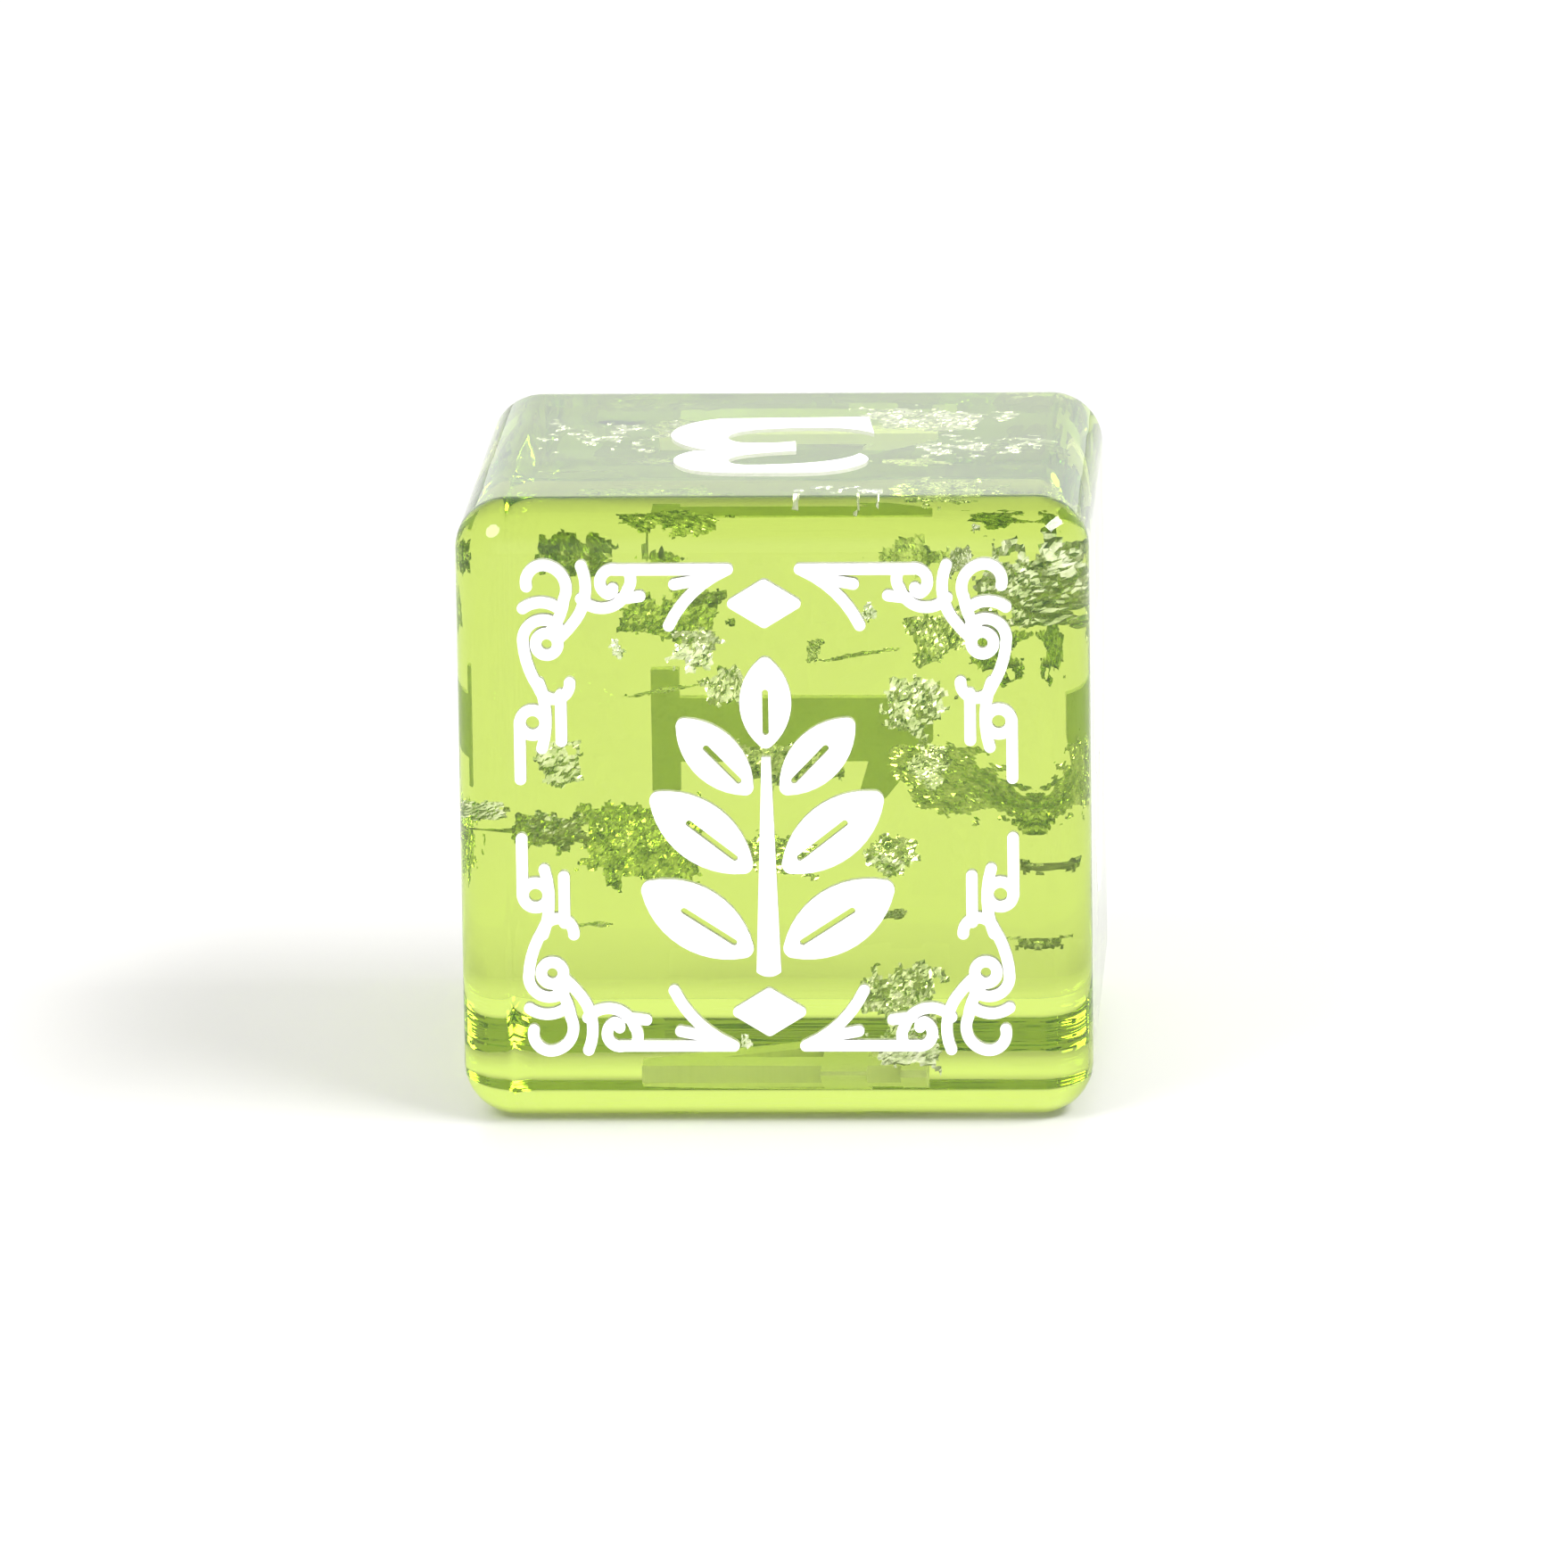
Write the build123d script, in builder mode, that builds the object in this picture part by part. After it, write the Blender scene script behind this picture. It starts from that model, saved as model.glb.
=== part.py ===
"""A six-sided gaming die: clear green resin with foil leaf cast in it, its engraving filled with paint."""
from build123d import *
import math
import os

os.makedirs("parts", exist_ok=True)

# ---- driving dimensions, millimetres ----
die_side = 16.0          # across two opposite faces
edge_radius = 1.35       # tumbled edges and corners
groove_depth = 0.35      # how deep the front artwork is cut, and so how thick its paint is
stroke_width = 0.29      # painted line of the scroll frame
frame_half_width = 6.20  # middle of the face to the outer upright of the frame
frame_half_height = 6.15  # middle of the face to the long bar of the frame
bar_gap = 0.91           # middle of the face to the near end of a long bar
upright_gap = 0.77       # middle of the face to the near end of an outer upright
ring_radius = 0.32       # little ring half way up each upright
eye_radius = 0.28        # eye of the loop at each corner
artwork_shift_x = -0.15  # the front artwork sits a shade left of the middle
artwork_shift_z = 0.20   # and a shade high
lozenge_width = 1.82
lozenge_height = 1.15
lozenge_round = 0.14
lozenge_drop = 0.88      # lozenge's middle below the frame's long bar
sprig_height = 8.30      # leaf sprig emblem, foot of the stem to the tip of the top leaf
sprig_shift_z = -0.20    # emblem's middle against the frame's middle
sprig_stem_width = 0.34
sprig_foot_flare = 0.14   # the stem widens by this on each side at its foot
sprig_foot_crown = 0.12   # and its foot is rounded by this much
sprig_gap = 0.17         # resin left between the stem and each leaf
leaf_vein_width = 0.16
tip_leaf_length = 2.45
tip_leaf_width = 1.30
numeral_height = 7.30    # numerals on the other five faces
numeral_depth = 0.55     # numerals are cut deeper than the front artwork
foil_thickness = 0.12    # a crumpled flake, taken as a thin folded plate

half = die_side / 2
middle = half            # height of the die's middle above what it rests on

# ---- the faces: local x and y as a reader facing that side sees them, z outwards ----
front_face = Plane(
    origin=(artwork_shift_x, -half, middle + artwork_shift_z), x_dir=(1, 0, 0), z_dir=(0, -1, 0)
)
top_face = Plane(origin=(-0.15, -0.20, die_side), x_dir=(-1, 0, 0), z_dir=(0, 0, 1))
back_face = Plane(origin=(0, half, middle), x_dir=(0, 0, 1), z_dir=(0, 1, 0))
bottom_face = Plane(origin=(0, 0, 0), x_dir=(0, -1, 0), z_dir=(0, 0, -1))
left_face = Plane(origin=(-half, 0, middle), x_dir=(0, -1, 0), z_dir=(-1, 0, 0))
right_face = Plane(origin=(half, 0, middle), x_dir=(0, 1, 0), z_dir=(1, 0, 0))

inlays = []
flakes = []


def save(piece, name, group):
    """Label a finished piece, write it and keep it for cutting its pocket in the resin."""
    piece.part.label = name
    export_step(piece.part, f"parts/{name}.step")
    group.append(piece.part)


def path(*points):
    """One pen path: straight through two points, or a chain of arcs, each from, by way of and to a point."""
    if len(points) == 2:
        return Line(*points)
    arcs = [ThreePointArc(*points[k : k + 3]) for k in range(0, len(points) - 2, 2)]
    return Wire(arcs)


# ---- scroll frame ----
# One corner is drawn as distances outwards from the middle of the face: s() takes how far a point lies
# in from the outer upright, and how far it lies below the long bar.
def s(inward, below):
    return (frame_half_width - inward, frame_half_height - below)


ring_middle = s(0.33, 3.92)
eye_middle = s(0.72, 1.90)
bar_end = frame_half_width - bar_gap
upright_end = frame_half_height - upright_gap
corner_paths = [
    path(s(0.23, 0.42), s(0.33, 0.02), s(0.72, -0.12), s(1.14, 0.16), s(1.17, 0.75),
         s(1.05, 1.20), s(0.80, 1.60)),
    path(s(0.13, 0.98), s(0.58, 0.83), s(1.08, 1.02)),
    path(s(1.00, 1.42), s(0.36, 1.36), s(0.12, 1.80), s(0.22, 2.40), s(0.52, 3.05)),
    path(s(1.61, -0.10), s(1.70, 0.70), s(1.36, 1.40), s(1.15, 1.64), s(0.90, 1.86)),
    path(s(1.60, 0.74), s(2.30, 0.96), s(2.78, 0.50), s(2.86, 0.25), s(2.80, 0.04)),
    path(s(2.60, 0.74), s(3.08, 0.68)),
    path(s(2.50, 0.00), s(2.10, 0.22), s(2.28, 0.62), s(2.37, 0.58), s(2.40, 0.48)),
    path(s(2.42, 0.00), s(bar_end, 0.00)),
    path(s(bar_end - 0.04, 0.02), s(bar_end - 0.84, 0.55), s(bar_end - 1.49, 1.44)),
    path(s(bar_end - 1.34, 0.38), s(bar_end - 0.69, 0.26)),
    path(s(0.00, 3.90), s(0.00, upright_end)),
    path(s(0.50, 2.90), s(0.66, 3.60), s(0.56, 4.58)),
    path(s(1.05, 3.20), s(1.05, 4.40)),
    path(s(0.50, 3.00), s(1.00, 3.30), s(1.28, 2.90)),
]
for vertical, tall in (("top", 1), ("bottom", -1)):
    for sideways, wide in (("left", -1), ("right", 1)):
        with BuildPart() as corner:
            with BuildSketch(front_face):
                for pen in corner_paths:
                    SlotArc(arc=pen, height=stroke_width)
                with Locations(ring_middle):
                    Circle(ring_radius + stroke_width / 2)
                    Circle(ring_radius - stroke_width / 2, mode=Mode.SUBTRACT)
                with Locations(eye_middle):
                    Circle(eye_radius + stroke_width / 2)
                    Circle(eye_radius - stroke_width / 2, mode=Mode.SUBTRACT)
                if wide < 0:
                    mirror(about=Plane.YZ, mode=Mode.REPLACE)
                if tall < 0:
                    mirror(about=Plane.XZ, mode=Mode.REPLACE)
            extrude(amount=-groove_depth)
        save(corner, f"frame_scroll_{vertical}_{sideways}", inlays)

# ---- lozenges in the middle of the frame's long sides ----
for vertical, tall in (("top", 1), ("bottom", -1)):
    with BuildPart() as lozenge:
        with BuildSketch(front_face):
            with Locations((0, tall * (frame_half_height - lozenge_drop))):
                Polygon(
                    (-lozenge_width / 2 - lozenge_round, 0),
                    (0, -lozenge_height / 2 - lozenge_round / 2),
                    (lozenge_width / 2 + lozenge_round, 0),
                    (0, lozenge_height / 2 + lozenge_round / 2),
                )
            fillet(vertices(), radius=lozenge_round)
        extrude(amount=-groove_depth)
    save(lozenge, f"frame_lozenge_{vertical}", inlays)

# ---- leaf sprig emblem ----
sprig_face = Plane(
    origin=front_face.origin + Vector(0, 0, sprig_shift_z), x_dir=(1, 0, 0), z_dir=(0, -1, 0)
)
sprig_foot = -sprig_height / 2
foot_half_width = sprig_stem_width / 2 + sprig_foot_flare
stem_top = sprig_height / 2 - tip_leaf_length - sprig_gap
with BuildPart() as sprig_stem:
    with BuildSketch(sprig_face):
        with BuildLine():
            Polyline(
                (-foot_half_width, sprig_foot + sprig_foot_crown),
                (-sprig_stem_width / 3, stem_top),
                (sprig_stem_width / 3, stem_top),
                (foot_half_width, sprig_foot + sprig_foot_crown),
            )
            ThreePointArc(
                (foot_half_width, sprig_foot + sprig_foot_crown),
                (0, sprig_foot),
                (-foot_half_width, sprig_foot + sprig_foot_crown),
            )
        make_face()
    extrude(amount=-groove_depth)
save(sprig_stem, "sprig_stem", inlays)


def leaf(length, width):
    """A pointed oval along x from its base at 0, with its vein left open."""
    with BuildSketch() as outline:
        with BuildLine():
            ThreePointArc((0, 0), (0.46 * length, width / 2), (length, 0))
            ThreePointArc((length, 0), (0.46 * length, -width / 2), (0, 0))
        make_face()
        fillet(outline.vertices(), radius=0.16 * width)
        with Locations((0.40 * length, 0)):
            SlotOverall(0.48 * length, leaf_vein_width, mode=Mode.SUBTRACT)
    return outline.sketch


# height of the leaf's base on the stem, its length, width and rise above level in degrees
leaf_pairs = {
    "lower": (-3.60, 3.45, 1.62, 33),
    "middle": (-1.45, 3.35, 1.52, 38),
    "upper": (0.55, 2.75, 1.30, 46),
}
for row, (base, length, width, rise) in leaf_pairs.items():
    for sideways, wide in (("left", -1), ("right", 1)):
        with BuildPart() as blade:
            with BuildSketch(sprig_face):
                with Locations(((sprig_stem_width / 2 + sprig_gap), base)):
                    add(leaf(length, width), rotation=rise)
                if wide < 0:
                    mirror(about=Plane.YZ, mode=Mode.REPLACE)
            extrude(amount=-groove_depth)
        save(blade, f"sprig_leaf_{row}_{sideways}", inlays)
with BuildPart() as tip_blade:
    with BuildSketch(sprig_face):
        with Locations((0, sprig_height / 2 - tip_leaf_length)):
            add(leaf(tip_leaf_length, tip_leaf_width), rotation=90)
    extrude(amount=-groove_depth)
save(tip_blade, "sprig_leaf_tip", inlays)


# ---- numerals, drawn on a grid ten units high with its middle at 0, 0 ----
def g(x, y):
    return (x * numeral_height / 10, y * numeral_height / 10)


def numeral_one():
    with BuildLine() as outline:
        Polyline(
            g(-2.2, -5.0), g(2.2, -5.0), g(2.2, -4.0), g(1.15, -4.0), g(1.15, 5.0),
            g(-0.4, 5.0), g(-2.5, 3.3), g(-2.5, 2.3), g(-1.15, 2.7), g(-1.15, -4.0),
            g(-2.2, -4.0), g(-2.2, -5.0),
        )
    return outline.wire()


def numeral_two():
    with BuildLine() as outline:
        Spline(g(-3.1, 2.1), g(-2.6, 4.2), g(0.0, 5.0), g(2.7, 4.2), g(3.4, 2.3), g(2.4, 0.2),
               g(-0.4, -2.9))
        Polyline(g(-0.4, -2.9), g(2.2, -2.9), g(2.7, -2.0), g(3.5, -2.0), g(3.1, -5.0), g(-3.5, -5.0),
                 g(-3.5, -3.9))
        Spline(g(-3.5, -3.9), g(-1.4, -1.6), g(0.6, 0.6), g(1.3, 2.2), g(0.9, 3.3), g(-0.2, 3.6),
               g(-1.1, 3.1), g(-1.4, 1.9))
        Line(g(-1.4, 1.9), g(-3.1, 2.1))
    return outline.wire()


def numeral_three():
    with BuildLine() as outline:
        Spline(g(-2.95, 1.6), g(-3.2, 3.3), g(-2.1, 4.7), g(0.3, 5.0), g(2.7, 4.5), g(3.5, 2.8), g(2.9, 1.1))
        Line(g(2.9, 1.1), g(2.3, 1.0))
        Spline(g(2.3, 1.0), g(3.2, 0.1), g(3.8, -1.4), g(3.6, -3.3), g(2.2, -4.8))
        Polyline(g(2.2, -4.8), g(-3.0, -5.0), g(-3.3, -2.0))
        Spline(g(-3.3, -2.0), g(-2.5, -2.8), g(0.0, -3.0), g(1.5, -2.3), g(1.8, -1.2), g(1.3, -0.4))
        Polyline(g(1.3, -0.4), g(0.15, -0.3), g(-0.6, -0.6), g(-0.7, 1.1))
        Spline(g(-0.7, 1.1), g(0.6, 1.5), g(1.5, 2.3), g(1.5, 3.2), g(0.9, 3.6))
        Spline(g(0.9, 3.6), g(-0.8, 3.4), g(-2.1, 2.8), g(-2.95, 1.6))
    return outline.wire()


def numeral_four():
    with BuildLine() as outline:
        Polyline(
            g(-0.4, -5.0), g(3.6, -5.0), g(3.6, -4.1), g(2.6, -4.1), g(2.6, -2.9), g(3.9, -2.9),
            g(3.9, -1.3), g(2.6, -1.3), g(2.6, 5.0), g(0.9, 5.0), g(-3.6, -1.5), g(-3.6, -2.9),
            g(0.6, -2.9), g(0.6, -4.1), g(-0.4, -4.1), g(-0.4, -5.0),
        )
    return outline.wire()


def numeral_five():
    with BuildLine() as outline:
        Polyline(g(3.0, 5.0), g(-2.6, 5.0), g(-2.9, -0.2), g(-1.8, -0.6))
        Spline(g(-1.8, -0.6), g(-0.3, 0.2), g(1.2, -0.3), g(1.7, -1.6), g(1.1, -3.0), g(-0.4, -3.5),
               g(-1.6, -3.0))
        Line(g(-1.6, -3.0), g(-3.4, -2.6))
        Spline(g(-3.4, -2.6), g(-2.4, -4.5), g(0.0, -5.0), g(2.7, -4.2), g(3.8, -1.8), g(2.9, 0.5),
               g(0.8, 1.4), g(-0.9, 1.0))
        Polyline(g(-0.9, 1.0), g(-0.8, 3.3), g(3.0, 3.3), g(3.0, 5.0))
    return outline.wire()


numerals = {
    "one": (back_face, numeral_one),
    "two": (left_face, numeral_two),
    "three": (top_face, numeral_three),
    "four": (bottom_face, numeral_four),
    "five": (right_face, numeral_five),
}
for name, (face, draw) in numerals.items():
    with BuildPart() as numeral:
        with BuildSketch(face):
            make_face(draw())
            if name == "four":
                with BuildLine():
                    Polyline(g(0.6, -1.3), g(0.6, 2.3), g(-1.8, -1.3), close=True)
                make_face(mode=Mode.SUBTRACT)
        extrude(amount=-numeral_depth)
    save(numeral, f"numeral_{name}", inlays)

# ---- foil leaf, set in the resin ----
# Each torn flake is a thin plate folded along a crease: middle x, y, z; width along the crease and height
# across it; then degrees of swing to the side, lean back, turn in its own plane, and fold.
foil_places = [
    (6.35, -6.10, 13.45, 2.5, 2.6, 18, 6, 20, 14),
    (3.45, -5.40, 10.40, 1.7, 1.6, -20, 10, 10, 20),
    (3.80, -4.90, 8.80, 0.9, 1.2, 25, -10, -20, 15),
    (2.10, -4.00, 11.60, 2.1, 1.2, 10, 20, 25, 18),
    (4.10, -2.00, 11.90, 1.7, 1.6, -25, 10, 30, 15),
    (-1.95, -6.00, 12.05, 1.2, 1.1, 10, -15, 0, 18),
    (-1.25, -5.00, 10.95, 1.1, 1.4, -15, 10, 30, 20),
    (-1.80, -4.60, 13.15, 1.2, 0.7, 5, 30, 10, 15),
    (-3.10, -3.00, 10.50, 1.7, 0.7, 10, 10, 35, 12),
    (-2.90, 1.20, 11.90, 2.8, 1.3, -10, 15, 5, 14),
    (0.10, -4.00, 6.50, 2.6, 2.0, 8, -12, -25, 18),
    (0.10, -3.00, 8.60, 2.4, 1.3, -10, 15, 5, 16),
    (2.95, -5.20, 6.60, 1.4, 1.2, 20, 10, -30, 18),
    (4.70, 0.00, 7.60, 3.0, 1.1, 15, 10, -45, 12),
    (6.30, 1.00, 6.60, 1.3, 0.9, -30, 5, 0, 10),
    (-5.50, -5.20, 9.00, 1.1, 1.3, 15, 0, 20, 12),
    (-5.70, -5.00, 7.20, 2.2, 1.5, -10, 15, -15, 20),
    (-3.70, 2.00, 6.00, 3.4, 2.7, 10, -10, 0, 14),
    (-7.10, -6.20, 7.90, 0.7, 0.3, 30, 10, 0, 8),
    (-4.60, -6.90, 5.05, 0.8, 0.5, 0, 10, 30, 10),
    (3.15, -5.00, 3.00, 1.8, 1.6, -10, 10, 20, 18),
    (3.40, -6.85, 1.75, 1.6, 1.0, 0, 15, -5, 14),
    (-0.75, -7.10, 2.00, 0.30, 0.5, 10, 5, 0, 8),
    (-3.90, -7.00, 12.15, 0.30, 0.5, -10, 5, 20, 8),
    (2.50, -7.00, 13.10, 0.35, 0.45, 15, 5, -15, 8),
    (0.95, -2.50, 11.50, 0.35, 0.8, 20, 10, 10, 10),
    (3.00, -6.20, 5.20, 0.5, 0.4, 10, 15, 20, 10),
    (6.60, -3.50, 6.00, 1.3, 0.5, -15, 20, -8, 12),
    (6.50, -1.00, 3.60, 1.3, 0.7, 10, 10, 12, 12),
    (5.40, -7.00, 15.10, 0.7, 0.5, 5, 20, 0, 12),
    (4.70, -6.90, 14.30, 0.5, 0.9, 10, 10, 20, 12),
    (3.30, -0.50, 13.60, 1.9, 0.8, -15, 25, 15, 15),
    (-5.20, -1.60, 13.65, 2.0, 0.8, 10, 20, 5, 14),
    (-3.60, -4.00, 14.40, 1.9, 0.8, -10, 25, -8, 14),
    (-3.30, 4.60, 13.30, 1.0, 1.9, 5, -8, 8, 10),
    (5.30, 4.20, 10.60, 1.6, 2.2, 12, 10, 25, 14),
    (4.90, 0.80, 14.60, 3.2, 2.9, 0, -74, 10, 10),
    (3.40, 4.70, 14.20, 3.4, 2.6, 0, -72, -15, 10),
    (-4.50, 2.30, 14.60, 3.4, 2.9, 0, -76, 20, 10),
    (1.60, -5.40, 15.10, 1.9, 0.9, 0, -66, 5, 12),
]


def torn_half(width, height, tear):
    """Corners of one half of a flake, from its crease at y = 0 out to its torn edge."""
    corners = [(-width / 2, -foil_thickness / 2), (width / 2, -foil_thickness / 2)]
    for k, angle in enumerate((0.15, 0.85, 1.45, 2.15, 2.95)):
        reach = 0.70 + 0.30 * math.sin(tear + 2.3 * k)
        corners.append((width / 2 * reach * math.cos(angle), height / 2 * reach * math.sin(angle)))
    return corners


for number, place in enumerate(foil_places, start=1):
    x, y, z, width, height, swing, lean, turn, fold = place
    facing = Plane(origin=(x, y, z), x_dir=(1, 0, 0), z_dir=(0, -1, 0)).rotated((lean, swing, turn))
    with BuildPart() as flake:
        with BuildSketch(facing.rotated((fold, 0, 0))):
            Polygon(*torn_half(width, height, number), align=None)
        with BuildSketch(facing.rotated((180 - fold, 0, 0))):
            Polygon(*torn_half(width, height, number + 1.3), align=None)
        extrude(amount=foil_thickness / 2, both=True)
    save(flake, f"foil_flake_{number:02d}", flakes)

# ---- the resin, cast round the flakes and engraved for the paint ----
with BuildPart() as die_body:
    Box(die_side, die_side, die_side, align=(Align.CENTER, Align.CENTER, Align.MIN))
    fillet(die_body.edges(), radius=edge_radius)
    add(inlays + flakes, mode=Mode.SUBTRACT)
save(die_body, "die_body", [])
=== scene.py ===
import math

import bpy
import numpy as np
from mathutils import Matrix, Vector


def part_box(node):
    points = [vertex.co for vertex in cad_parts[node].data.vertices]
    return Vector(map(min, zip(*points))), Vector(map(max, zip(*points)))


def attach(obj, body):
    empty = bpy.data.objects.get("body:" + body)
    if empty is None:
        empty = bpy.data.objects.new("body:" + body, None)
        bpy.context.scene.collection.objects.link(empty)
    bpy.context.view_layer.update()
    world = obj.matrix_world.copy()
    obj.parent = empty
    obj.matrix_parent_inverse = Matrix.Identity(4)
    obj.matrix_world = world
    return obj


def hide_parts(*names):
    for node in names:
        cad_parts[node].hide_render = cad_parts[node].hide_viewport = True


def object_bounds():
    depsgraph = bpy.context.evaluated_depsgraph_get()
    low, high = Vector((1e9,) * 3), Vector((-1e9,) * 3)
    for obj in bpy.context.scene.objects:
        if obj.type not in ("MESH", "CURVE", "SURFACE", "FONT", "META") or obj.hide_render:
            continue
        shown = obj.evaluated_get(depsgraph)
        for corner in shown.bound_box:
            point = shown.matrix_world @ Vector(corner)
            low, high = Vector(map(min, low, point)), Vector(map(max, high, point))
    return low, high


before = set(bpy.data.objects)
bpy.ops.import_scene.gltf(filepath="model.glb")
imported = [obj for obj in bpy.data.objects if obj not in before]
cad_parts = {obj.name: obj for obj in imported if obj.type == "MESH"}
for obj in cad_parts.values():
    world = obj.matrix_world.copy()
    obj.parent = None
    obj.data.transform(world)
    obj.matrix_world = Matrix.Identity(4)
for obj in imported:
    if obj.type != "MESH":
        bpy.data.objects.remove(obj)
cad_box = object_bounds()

# A clear green resin gaming die with crumpled foil leaf cast into it and white paint in its engraving.
# Everything is in metres; MM turns millimetres into them. The settings of the finishes and the lamps were
# found by trial and are not measured.
MM = 0.001
LOW, HIGH = cad_box
MIDDLE = (LOW + HIGH) / 2
HALF = (HIGH.x - LOW.x) / 2

EDGE_RADIUS = 1.35 * MM        # rounded edges and corners
FACE_SETBACK = 0.006 * MM      # the resin is this much smaller on each side, so the paint shows at its face
BLOCK_CUTS = 73                # points along each edge of the cube that the block is shaped from
TOUCHING = 1e-6                # nearer than this to the die's skin counts as reaching it
PAINTED = ("frame_", "sprig_", "numeral_")

LEAF_THICKNESS = 0.004 * MM
WIDE_FLAKE = 1.0 * MM          # flakes wider than this are made of coarse facets
COARSE_FACET, FINE_FACET = 0.078 * MM, 0.04 * MM
TOP_LAYER = 1.5 * MM           # flakes within this of the top side have more holes
TOP_HOLES, OTHER_HOLES = 0.53, 0.72    # noise above this is cut away
SHEET_SPARE = 1.4              # the sheet before tearing, against the leaf
SQUARENESS = 2.6               # power of the leaf's outline: 2 is an ellipse
KNOCK = (0.36, 0.36, 0.17)     # how far each point is knocked about, in facets

RESIN_TINT = (0.725, 0.835, 0.02, 1)
RESIN_DENSITY = 128.0
RESIN_IOR = 1.5
CAMERA_AWAY = 0.35


# ---------------------------------------------------------------- node helpers
def node(tree, kind, values=None, **settings):
    """One node, with its settings made and its sockets filled or joined up."""
    made = tree.nodes.new(kind)
    for name, value in settings.items():
        setattr(made, name, value)
    for key, value in (values or {}).items():
        socket = made.inputs[key]
        if isinstance(value, bpy.types.NodeSocket):
            tree.links.new(value, socket)
        else:
            socket.default_value = value
    return made


def sums(tree, operation, *values):
    """A number worked out by a Math node."""
    return node(tree, "ShaderNodeMath", dict(enumerate(values)), operation=operation).outputs[0]


def vectors(tree, operation, *values):
    """A vector, or a length, worked out by a Vector Math node."""
    made = node(tree, "ShaderNodeVectorMath", dict(enumerate(values)), operation=operation)
    return made.outputs["Value" if operation in ("LENGTH", "DOT_PRODUCT") else "Vector"]


def speckle(tree, where, scale, detail=2.0, rough=0.5, seed=0.0):
    """Seeded noise from 0 to 1, its scale in features for each metre."""
    made = node(
        tree, "ShaderNodeTexNoise",
        {"Vector": where, "W": seed, "Scale": scale, "Detail": detail, "Roughness": rough},
        noise_dimensions="4D",
    )
    return made.outputs[0]


def ramp(tree, value, *stops):
    """A colour ramp over a value: stops are (position, colour)."""
    made = node(tree, "ShaderNodeValToRGB", {0: value})
    steps = made.color_ramp.elements
    while len(steps) < len(stops):
        steps.new(0.5)
    for step, (place, colour) in zip(steps, stops):
        step.position = place
        step.color = (*colour, 1)
    return made.outputs[0]


def remap(tree, value, low, high, new_low, new_high):
    made = node(
        tree, "ShaderNodeMapRange",
        {"Value": value, "From Min": low, "From Max": high, "To Min": new_low, "To Max": new_high},
    )
    return made.outputs[0]


def finish_tree(name):
    """A new material's tree, its shader and its output."""
    finish = bpy.data.materials.new(name)
    finish.use_nodes = True
    tree = finish.node_tree
    tree.nodes.clear()
    shader = tree.nodes.new("ShaderNodeBsdfPrincipled")
    output = tree.nodes.new("ShaderNodeOutputMaterial")
    tree.links.new(shader.outputs[0], output.inputs["Surface"])
    where = tree.nodes.new("ShaderNodeTexCoord").outputs["Object"]
    return finish, tree, shader, output, where


def relief(tree, height, strength, depth):
    return node(
        tree, "ShaderNodeBump", {"Height": height, "Strength": strength, "Distance": depth}
    ).outputs[0]


# ---------------------------------------------------------------- finishes
def clear_green_resin():
    """Polished casting resin, yellow-green through its thickness."""
    finish, tree, shader, output, where = finish_tree("clear_green_resin")
    shader.inputs["Base Color"].default_value = (1, 1, 1, 1)
    shader.inputs["Transmission Weight"].default_value = 1.0
    shader.inputs["IOR"].default_value = RESIN_IOR
    shader.inputs["Roughness"].default_value = 0.0
    # a faint ripple, a quarter as strong on the front side: an assumption, its cause isn't known
    depth_in = node(tree, "ShaderNodeSeparateXYZ", {0: where}).outputs[1]
    strength = remap(tree, depth_in, LOW.y + 0.5 * MM, LOW.y + 3 * MM, 0.25, 1.0)
    ripple = sums(tree, "MULTIPLY", speckle(tree, where, 330, 1.0, 0.4, 3.0), strength)
    tree.links.new(relief(tree, ripple, 1.0, 0.03 * MM), shader.inputs["Normal"])
    tint = node(tree, "ShaderNodeVolumeAbsorption", {"Color": RESIN_TINT, "Density": RESIN_DENSITY})
    tree.links.new(tint.outputs[0], output.inputs["Volume"])
    return finish


def engraving_paint(name, depth_way):
    """White paint, satin and a little uneven. The pattern is drawn out along depth_way, which streaks the
    walls of the groove; the streaks are an assumption."""
    finish, tree, shader, _, where = finish_tree(name)
    drawn = vectors(tree, "MULTIPLY", where, tuple(1.0 - 0.97 * step for step in depth_way))
    blotches = speckle(tree, drawn, 1400, 3.0, 0.6, 5.0)
    streaks = speckle(tree, drawn, 7000, 2.0, 0.6, 6.0)
    both = sums(tree, "ADD", sums(tree, "MULTIPLY", blotches, 0.55), sums(tree, "MULTIPLY", streaks, 0.45))
    whites = ((0.32, (0.84, 0.85, 0.85)), (0.48, (0.94, 0.94, 0.94)), (0.65, (0.97, 0.97, 0.97)))
    tree.links.new(ramp(tree, both, *whites), shader.inputs["Base Color"])
    tree.links.new(remap(tree, blotches, 0.3, 0.7, 0.34, 0.52), shader.inputs["Roughness"])
    tree.links.new(relief(tree, streaks, 0.5, 0.012 * MM), shader.inputs["Normal"])
    return finish


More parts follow.
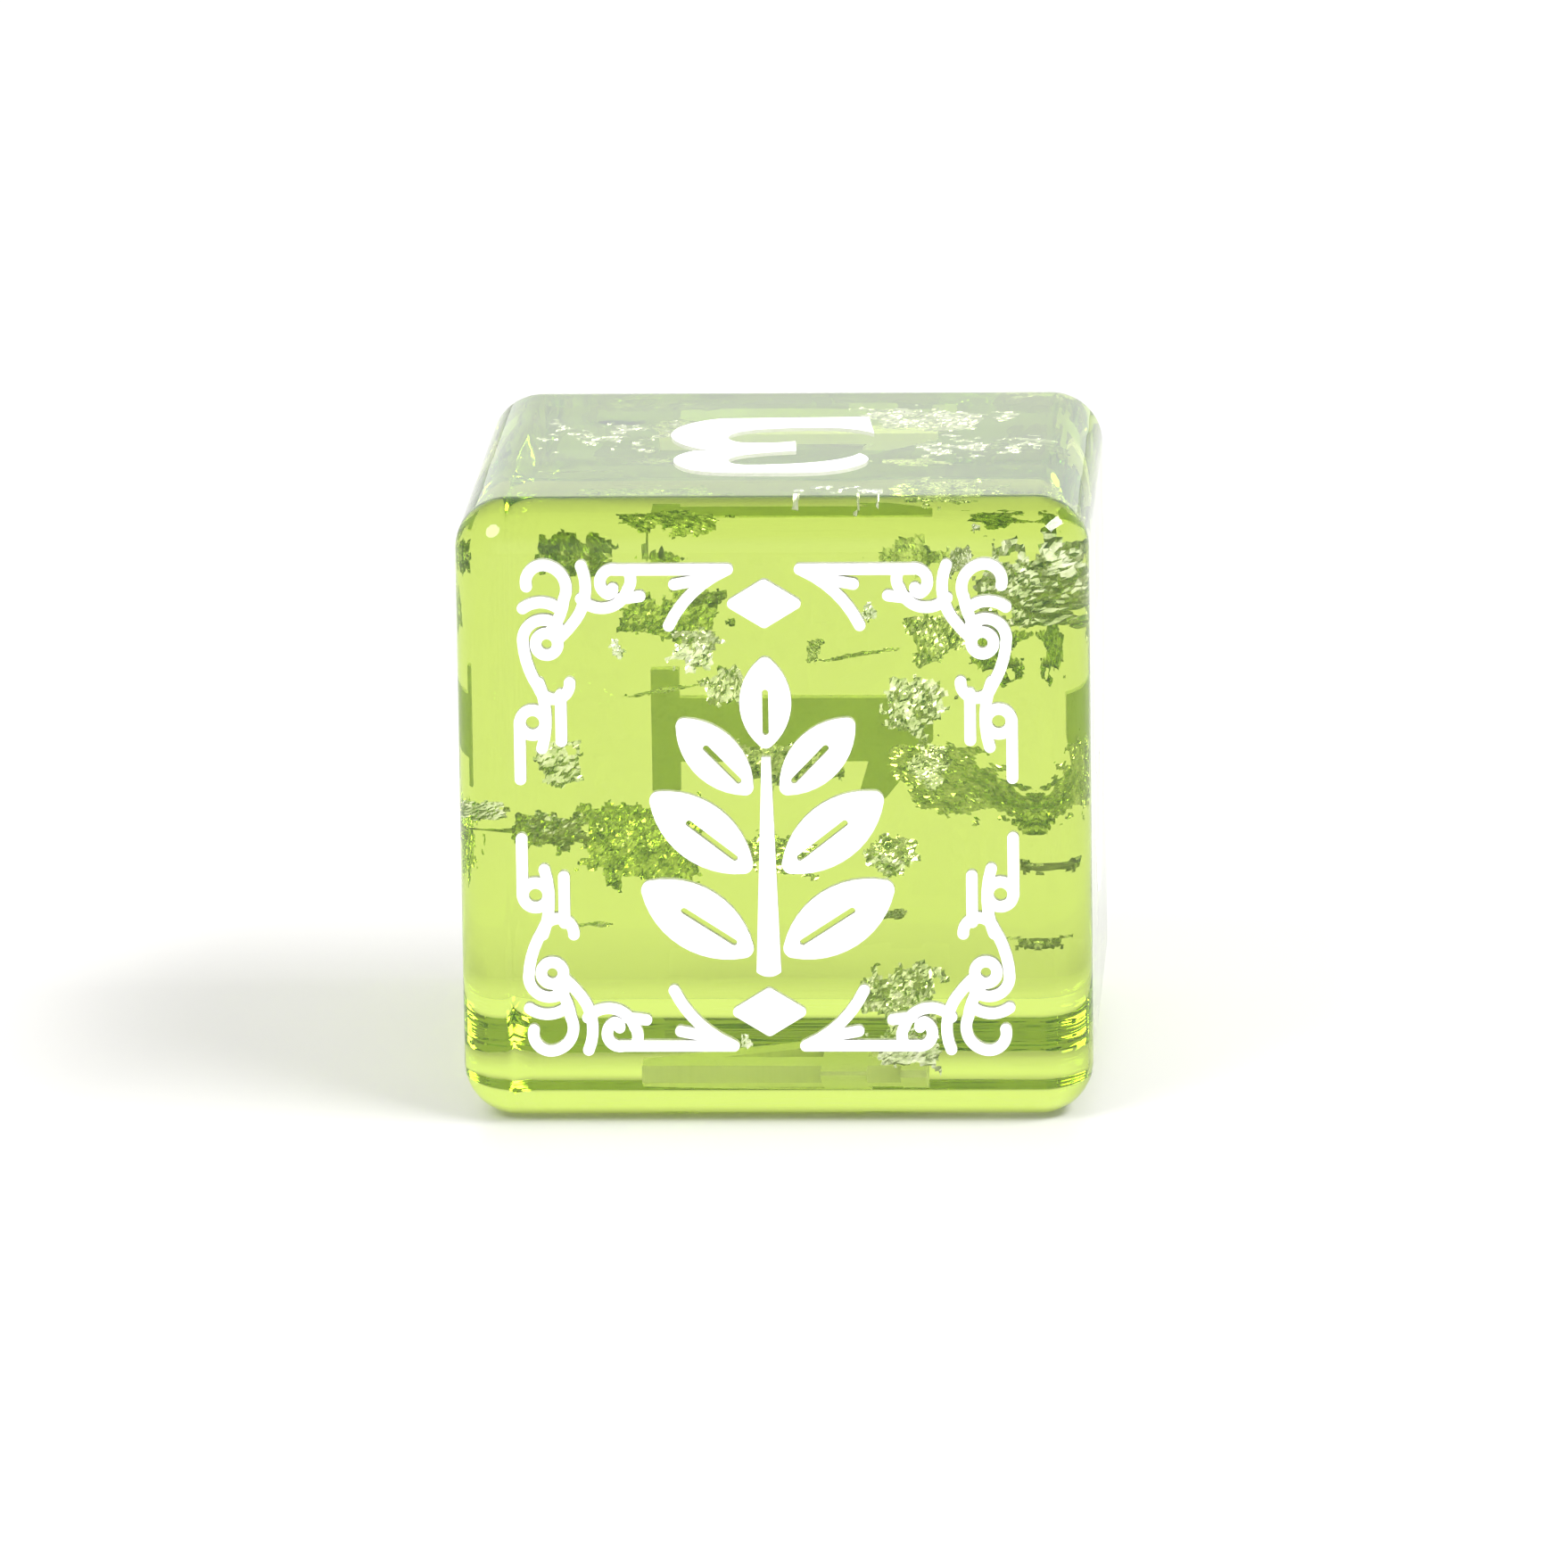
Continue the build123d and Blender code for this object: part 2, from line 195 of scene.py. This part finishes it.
def silver_leaf():
    """Crumpled silver leaf, its colour painted with dark green areas: painted shade that stands in for the
    darker, greener light reflected from leaf deep in the resin. The patches are an assumption, their cause
    isn't known.
    """
    finish, tree, shader, _, where = finish_tree("silver_leaf")
    shader.inputs["Metallic"].default_value = 1.0
    # painted shade: the dark green in the leaf's colour stands in for shade and for light that has gone deep
    # through the green resin; the near-white is the silver
    painted_shade_patches = speckle(tree, where, 2600, 3.0, 0.6, 2.0)
    painted_shade_greens = ((0.36, (0.40, 0.50, 0.22)), (0.50, (0.72, 0.79, 0.55)), (0.64, (0.93, 0.95, 0.87)))
    tree.links.new(ramp(tree, painted_shade_patches, *painted_shade_greens), shader.inputs["Base Color"])
    tree.links.new(remap(tree, painted_shade_patches, 0.3, 0.7, 0.05, 0.20), shader.inputs["Roughness"])
    crinkle = speckle(tree, where, 9000, 2.0, 0.6, 4.0)
    tree.links.new(relief(tree, crinkle, 0.3, 0.02 * MM), shader.inputs["Normal"])
    return finish


RESIN = clear_green_resin()
PAINT = [
    engraving_paint("engraving_paint_sides", (1, 0, 0)),
    engraving_paint("engraving_paint_front_and_back", (0, 1, 0)),
    engraving_paint("engraving_paint_top_and_bottom", (0, 0, 1)),
]
LEAF = silver_leaf()


# ---------------------------------------------------------------- making with Geometry Nodes
def maker(name, sizes):
    """An empty Geometry Nodes tree with named inputs, its input node and its output node."""
    tree = bpy.data.node_groups.new(name, "GeometryNodeTree")
    for label, kind, value in sizes:
        socket = tree.interface.new_socket(name=label, in_out="INPUT", socket_type="NodeSocket" + kind)
        if value is not None:
            socket.default_value = value
    tree.interface.new_socket(name="Piece", in_out="OUTPUT", socket_type="NodeSocketGeometry")
    return tree, tree.nodes.new("NodeGroupInput").outputs, tree.nodes.new("NodeGroupOutput").inputs


def finish_piece(tree, shape, material, out):
    whole = node(tree, "GeometryNodeRealizeInstances", {0: shape}).outputs[0]
    painted = node(tree, "GeometryNodeSetMaterial", {"Geometry": whole, "Material": material}).outputs[0]
    tree.links.new(painted, out[0])


def run_maker(name, tree, sizes, thickness=0.0):
    """Run a tree with these sizes and keep the result as a plain mesh object at the origin."""
    blank = bpy.data.objects.new(name, bpy.data.meshes.new(name))
    bpy.context.scene.collection.objects.link(blank)
    work = blank.modifiers.new("make", "NODES")
    work.node_group = tree
    for socket in tree.interface.items_tree:
        if socket.in_out == "INPUT" and socket.name in sizes:
            work[socket.identifier] = sizes[socket.name]
    if thickness:
        wall = blank.modifiers.new("wall", "SOLIDIFY")
        wall.thickness = thickness
        wall.offset = 0
    bpy.context.view_layer.update()
    ready = blank.evaluated_get(bpy.context.evaluated_depsgraph_get())
    mesh = bpy.data.meshes.new_from_object(ready)
    bpy.data.objects.remove(blank)
    mesh.name = name
    piece = bpy.data.objects.new(name, mesh)
    bpy.context.scene.collection.objects.link(piece)
    return piece


# ---------------------------------------------------------------- the resin block
def resin_tree():
    """A cube whose skin is pulled in to rounded edges: every point goes to the nearest place on an inner
    cube, then out again by the edge radius."""
    tree, size, out = maker("resin_block", (
        ("Side", "Float", 16 * MM), ("Edge Radius", "Float", EDGE_RADIUS), ("Centre", "Vector", (0, 0, 0)),
        ("Cuts", "Int", BLOCK_CUTS), ("Finish", "Material", None),
    ))
    side = vectors(tree, "SCALE", (1.0, 1.0, 1.0))
    tree.links.new(size["Side"], side.node.inputs["Scale"])
    cube = node(tree, "GeometryNodeMeshCube", {
        "Size": side, "Vertices X": size["Cuts"], "Vertices Y": size["Cuts"], "Vertices Z": size["Cuts"],
    }).outputs[0]
    place = node(tree, "GeometryNodeInputPosition").outputs[0]
    parts = node(tree, "ShaderNodeSeparateXYZ", {0: place}).outputs
    half = sums(tree, "MULTIPLY", size["Side"], 0.5)
    inner = sums(tree, "SUBTRACT", half, size["Edge Radius"])
    spread = []
    for axis in range(3):
        # a quarter of the cuts at each end goes round the edge in equal angles; the rest lies on the flat
        share = sums(tree, "DIVIDE", sums(tree, "ABSOLUTE", parts[axis]), half)
        inside = sums(tree, "MINIMUM", sums(tree, "DIVIDE", share, 0.5), 1.0)
        flat = sums(tree, "MULTIPLY", inner, sums(tree, "SINE", sums(tree, "MULTIPLY", inside, math.pi / 2)))
        past = sums(tree, "MAXIMUM", sums(tree, "SUBTRACT", share, 0.5), 0.0)
        turn = sums(tree, "MULTIPLY", past, math.pi / 2)
        bend = sums(tree, "MULTIPLY", sums(tree, "TANGENT", turn), size["Edge Radius"])
        spread.append(sums(tree, "MULTIPLY", sums(tree, "ADD", flat, bend), sums(tree, "SIGN", parts[axis])))
    even = node(tree, "ShaderNodeCombineXYZ", dict(enumerate(spread))).outputs[0]
    limit = node(tree, "ShaderNodeCombineXYZ", {0: inner, 1: inner, 2: inner}).outputs[0]
    low_limit = vectors(tree, "MULTIPLY", limit, (-1.0,) * 3)
    core = vectors(tree, "MAXIMUM", vectors(tree, "MINIMUM", even, limit), low_limit)
    outwards = vectors(tree, "SCALE", vectors(tree, "NORMALIZE", vectors(tree, "SUBTRACT", even, core)))
    tree.links.new(size["Edge Radius"], outwards.node.inputs["Scale"])
    skin = vectors(tree, "ADD", vectors(tree, "ADD", core, outwards), size["Centre"])
    shaped = node(tree, "GeometryNodeSetPosition", {"Geometry": cube, "Position": skin}).outputs[0]
    smooth = node(tree, "GeometryNodeSetShadeSmooth", {0: shaped}).outputs[0]
    finish_piece(tree, smooth, size["Finish"], out)
    return tree


def resin_block():
    """One closed block with no pockets in it: the paint and the leaf are separate pieces that lie inside it.
    """
    block = run_maker("resin_block", resin_tree(), {
        "Side": 2 * (HALF - FACE_SETBACK), "Edge Radius": EDGE_RADIUS, "Centre": tuple(MIDDLE),
        "Cuts": BLOCK_CUTS, "Finish": RESIN,
    })
    inner = HALF - FACE_SETBACK - EDGE_RADIUS
    mesh = block.data
    normals = []
    for face in mesh.polygons:
        for corner in face.vertices:
            offset = mesh.vertices[corner].co - MIDDLE
            core = Vector([max(-inner, min(inner, c)) for c in offset])
            normals.append((offset - core).normalized())
    mesh.normals_split_custom_set(normals)
    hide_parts("die_body")
    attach(block, "root")


# ---------------------------------------------------------------- foil leaf
def ridges(tree, where, scale, seed):
    """Creased noise: sharp ridges between soft hollows."""
    wave = speckle(tree, where, scale, 1.0, 0.5, seed)
    return sums(tree, "ABSOLUTE", sums(tree, "SUBTRACT", sums(tree, "MULTIPLY", wave, 2.0), 1.0))


def foil_tree():
    """A torn flake of metal leaf: a fine sheet, folded once, crumpled into small facets and torn round its
    edge."""
    tree, size, out = maker("torn_foil_leaf", (
        ("Width", "Float", 2 * MM), ("Height", "Float", 1 * MM), ("Columns", "Int", 50), ("Rows", "Int", 50),
        ("Facet", "Float", 0.05 * MM), ("Fold", "Float", 0.2), ("Crumple", "Float", 0.1 * MM),
        ("Tear", "Float", 0.8), ("Holes", "Float", 0.7), ("Seed", "Int", 0), ("Finish", "Material", None),
    ))
    sheet = node(tree, "GeometryNodeMeshGrid", {
        "Size X": sums(tree, "MULTIPLY", size["Width"], SHEET_SPARE),
        "Size Y": sums(tree, "MULTIPLY", size["Height"], SHEET_SPARE),
        "Vertices X": size["Columns"], "Vertices Y": size["Rows"],
    }).outputs[0]
    place = node(tree, "GeometryNodeInputPosition").outputs[0]
    parts = node(tree, "ShaderNodeSeparateXYZ", {0: place}).outputs
    seed = sums(tree, "MULTIPLY", size["Seed"], 11.3)
    twice = [sums(tree, "MULTIPLY", sums(tree, "ABSOLUTE", part), 2.0) for part in (parts[0], parts[1])]
    across = sums(tree, "DIVIDE", twice[0], size["Width"])
    up = sums(tree, "DIVIDE", twice[1], size["Height"])
    powers = sums(tree, "ADD", sums(tree, "POWER", across, SQUARENESS), sums(tree, "POWER", up, SQUARENESS))
    reach = sums(tree, "POWER", powers, 1 / SQUARENESS)
    span = sums(tree, "SQRT", sums(tree, "MULTIPLY", size["Width"], size["Height"]))
    lobes = sums(tree, "SUBTRACT", speckle(tree, place, sums(tree, "DIVIDE", 2.3, span), 1.0, 0.5, seed), 0.5)
    frays = sums(tree, "SUBTRACT", speckle(tree, place, 2400, 3.0, 0.65, seed), 0.5)
    uneven = sums(tree, "ADD", sums(tree, "MULTIPLY", lobes, 1.7), sums(tree, "MULTIPLY", frays, 1.9))
    edge = sums(tree, "ADD", reach, sums(tree, "MULTIPLY", uneven, size["Tear"]))
    torn = sums(tree, "GREATER_THAN", edge, 1.0)
    pinhole = speckle(tree, place, 2900, 2.0, 0.6, sums(tree, "ADD", seed, 9.0))
    holed = sums(tree, "GREATER_THAN", pinhole, size["Holes"])
    away = sums(tree, "MAXIMUM", torn, holed)
    leaf = node(
        tree, "GeometryNodeDeleteGeometry", {"Geometry": sheet, "Selection": away}, domain="POINT"
    ).outputs[0]
    coarse = ridges(tree, place, 1200, sums(tree, "ADD", seed, 3.0))
    middling = ridges(tree, place, 3200, sums(tree, "ADD", seed, 5.0))
    height = sums(tree, "ADD", coarse, sums(tree, "MULTIPLY", middling, 0.55))
    fold_down = sums(tree, "MULTIPLY", size["Fold"], -1.0)
    sag = sums(tree, "MULTIPLY", sums(tree, "ABSOLUTE", parts[1]), fold_down)
    lift = sums(tree, "ADD", sums(tree, "MULTIPLY", height, size["Crumple"]), sag)
    knock = node(
        tree, "FunctionNodeRandomValue", {0: tuple(-far for far in KNOCK), 1: KNOCK, "Seed": size["Seed"]},
        data_type="FLOAT_VECTOR",
    ).outputs[0]
    knocked = vectors(tree, "SCALE", knock)
    tree.links.new(size["Facet"], knocked.node.inputs["Scale"])
    move = vectors(tree, "ADD", knocked, node(tree, "ShaderNodeCombineXYZ", {2: lift}).outputs[0])
    crumpled = node(tree, "GeometryNodeSetPosition", {"Geometry": leaf, "Offset": move}).outputs[0]
    faceted = node(tree, "GeometryNodeSetShadeSmooth", {0: crumpled, "Shade Smooth": False}).outputs[0]
    finish_piece(tree, faceted, size["Finish"], out)
    return tree


def plate_frame(flake):
    """Middle, width, height and turning of a flake's CAD plate, from the spread of its corners."""
    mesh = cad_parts[flake].data
    corners = np.empty(len(mesh.vertices) * 3)
    mesh.vertices.foreach_get("co", corners)
    corners = np.unique(np.round(corners.reshape(-1, 3), 7), axis=0)
    centre = corners.mean(0)
    spread, axes = np.linalg.eigh(np.cov((corners - centre).T))
    long_way, short_way, out = axes[:, 2], axes[:, 1], axes[:, 0]
    if out[1] > 0:
        out = -out
    if long_way[0] < 0:
        long_way = -long_way
    short_way = np.cross(out, long_way)
    along = (corners - centre) @ long_way
    across = (corners - centre) @ short_way
    centre = centre + long_way * (along.max() + along.min()) / 2
    centre = centre + short_way * (across.max() + across.min()) / 2
    turning = Matrix((long_way, short_way, out)).transposed().to_4x4()
    placed = Matrix.Translation(Vector(centre)) @ turning
    return placed, along.max() - along.min(), across.max() - across.min()


def foil_leaf():
    tree = foil_tree()
    flakes = sorted(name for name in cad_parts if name.startswith("foil_flake_"))
    for number, name in enumerate(flakes, start=1):
        place, width, height = plate_frame(name)
        facet = COARSE_FACET if width > WIDE_FLAKE else FINE_FACET
        piece = run_maker("leaf_" + name[-2:], tree, {
            "Width": width * 1.12, "Height": height * 1.18, "Facet": facet,
            "Columns": int(width * 1.57 / facet), "Rows": int(height * 1.65 / facet),
            "Fold": 0.12, "Crumple": min(0.20 * MM, 0.14 * height), "Tear": 1.0,
            "Holes": TOP_HOLES if place.translation.z > HIGH.z - TOP_LAYER else OTHER_HOLES,
            "Seed": number, "Finish": LEAF,
        }, thickness=LEAF_THICKNESS)
        piece.data.transform(place)
        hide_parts(name)
        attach(piece, "root")


# ---------------------------------------------------------------- paint
def groove_axis(name):
    """The axis an inlay's groove is cut along: the one on which the inlay reaches the die's skin."""
    low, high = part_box(name)
    for axis in range(3):
        if high[axis] > HIGH[axis] - TOUCHING or low[axis] < LOW[axis] + TOUCHING:
            return axis


def paint_engraving():
    for name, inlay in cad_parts.items():
        if name.startswith(PAINTED):
            inlay.data.materials.clear()
            inlay.data.materials.append(PAINT[groove_axis(name)])


# ---------------------------------------------------------------- studio
def studio_floor():
    finish, tree, shader, _, where = finish_tree("studio_floor")
    shade = speckle(tree, where, 6, 2.0, 0.5, 1.0)
    greys = ((0.3, (0.58, 0.573, 0.562)), (0.7, (0.59, 0.583, 0.572)))
    tree.links.new(ramp(tree, shade, *greys), shader.inputs["Base Color"])
    shader.inputs["Roughness"].default_value = 0.32
    shader.inputs["Specular IOR Level"].default_value = 0.15
    mesh = bpy.data.meshes.new("studio_floor")
    reach = 2.2
    corners = [(-reach, -reach, 0), (reach, -reach, 0), (reach, reach, 0), (-reach, reach, 0)]
    mesh.from_pydata(corners, [], [(0, 1, 2, 3)])
    mesh.materials.append(finish)
    floor = bpy.data.objects.new("studio_floor", mesh)
    floor.location.z = LOW.z - 0.02 * MM
    bpy.context.scene.collection.objects.link(floor)


def softbox(name, swing, rise, away, size, glow, shape="RECTANGLE"):
    """A panel of even light aimed at the die: swing is from the front round to the right, in degrees, and
    glow is how bright its face is, with 1 showing as full white."""
    lamp = bpy.data.lights.new(name, "AREA")
    lamp.shape = shape
    lamp.size = size[0]
    if shape == "RECTANGLE":
        lamp.size_y = size[1]
    lamp.energy = glow * math.pi * size[0] * size[1] * (math.pi / 4 if shape == "DISK" else 1)
    swing, rise = math.radians(swing), math.radians(rise)
    towards = Vector((math.sin(swing) * math.cos(rise), -math.cos(swing) * math.cos(rise), math.sin(rise)))
    light = bpy.data.objects.new(name, lamp)
    light.location = MIDDLE + towards * away
    light.rotation_euler = towards.to_track_quat("Z", "Y").to_euler()
    bpy.context.scene.collection.objects.link(light)


def studio_light():
    softbox("key_softbox", 68, 50, 0.60, (0.42, 0.17), 19.0)
    softbox("fill_lamp", -43, 44, 0.60, (0.30, 0.30), 9.0, shape="DISK")
    room = bpy.data.worlds.new("pale_room")
    room.use_nodes = True
    tree = room.node_tree
    tree.nodes.clear()
    way = node(tree, "ShaderNodeTexCoord").outputs["Generated"]
    parts = node(tree, "ShaderNodeSeparateXYZ", {0: way}).outputs
    walls = remap(tree, parts[1], -0.25, 0.45, 1.50, 1.34)
    left = remap(tree, parts[0], -0.9, -0.3, 0.6, 1.0)
    walls = sums(tree, "MULTIPLY", walls, left)
    ceiling = remap(tree, parts[2], 0.30, 0.60, 0.0, 1.0)
    glow = sums(tree, "ADD", walls, sums(tree, "MULTIPLY", ceiling, sums(tree, "SUBTRACT", 0.78, walls)))
    wall = node(tree, "ShaderNodeBackground", {"Color": (1, 1, 1, 1), "Strength": glow}).outputs[0]
    tree.links.new(wall, node(tree, "ShaderNodeOutputWorld").inputs["Surface"])
    bpy.context.scene.world = room


def camera():
    """Looks down at the front face from 12.5 degrees, a long way off through a long lens."""
    swing, rise, tilt = math.radians(2.946), math.radians(12.462), math.radians(-0.786)
    back = Vector((math.sin(swing) * math.cos(rise), -math.cos(swing) * math.cos(rise), math.sin(rise)))
    right = (-back).cross(Vector((0, 0, 1))).normalized()
    up = right.cross(-back)
    level_right = right * math.cos(tilt) + up * math.sin(tilt)
    level_up = up * math.cos(tilt) - right * math.sin(tilt)
    lens = bpy.data.cameras.new("camera")
    lens.sensor_width = 36
    lens.lens = 311.96
    lens.shift_x, lens.shift_y = -0.0026, -0.0231
    lens.clip_start, lens.clip_end = 0.01, 20
    eye = bpy.data.objects.new("camera", lens)
    facing = Matrix((level_right, level_up, back)).transposed().to_4x4()
    eye.matrix_world = Matrix.Translation(MIDDLE + back * CAMERA_AWAY) @ facing
    bpy.context.scene.collection.objects.link(eye)
    bpy.context.scene.camera = eye


def light_paths():
    scene = bpy.context.scene
    scene.view_settings.view_transform = "Standard"
    scene.cycles.max_bounces = 28
    scene.cycles.diffuse_bounces = 4
    scene.cycles.glossy_bounces = 20
    scene.cycles.transmission_bounces = 24


resin_block()
foil_leaf()
paint_engraving()
studio_floor()
studio_light()
camera()
light_paths()
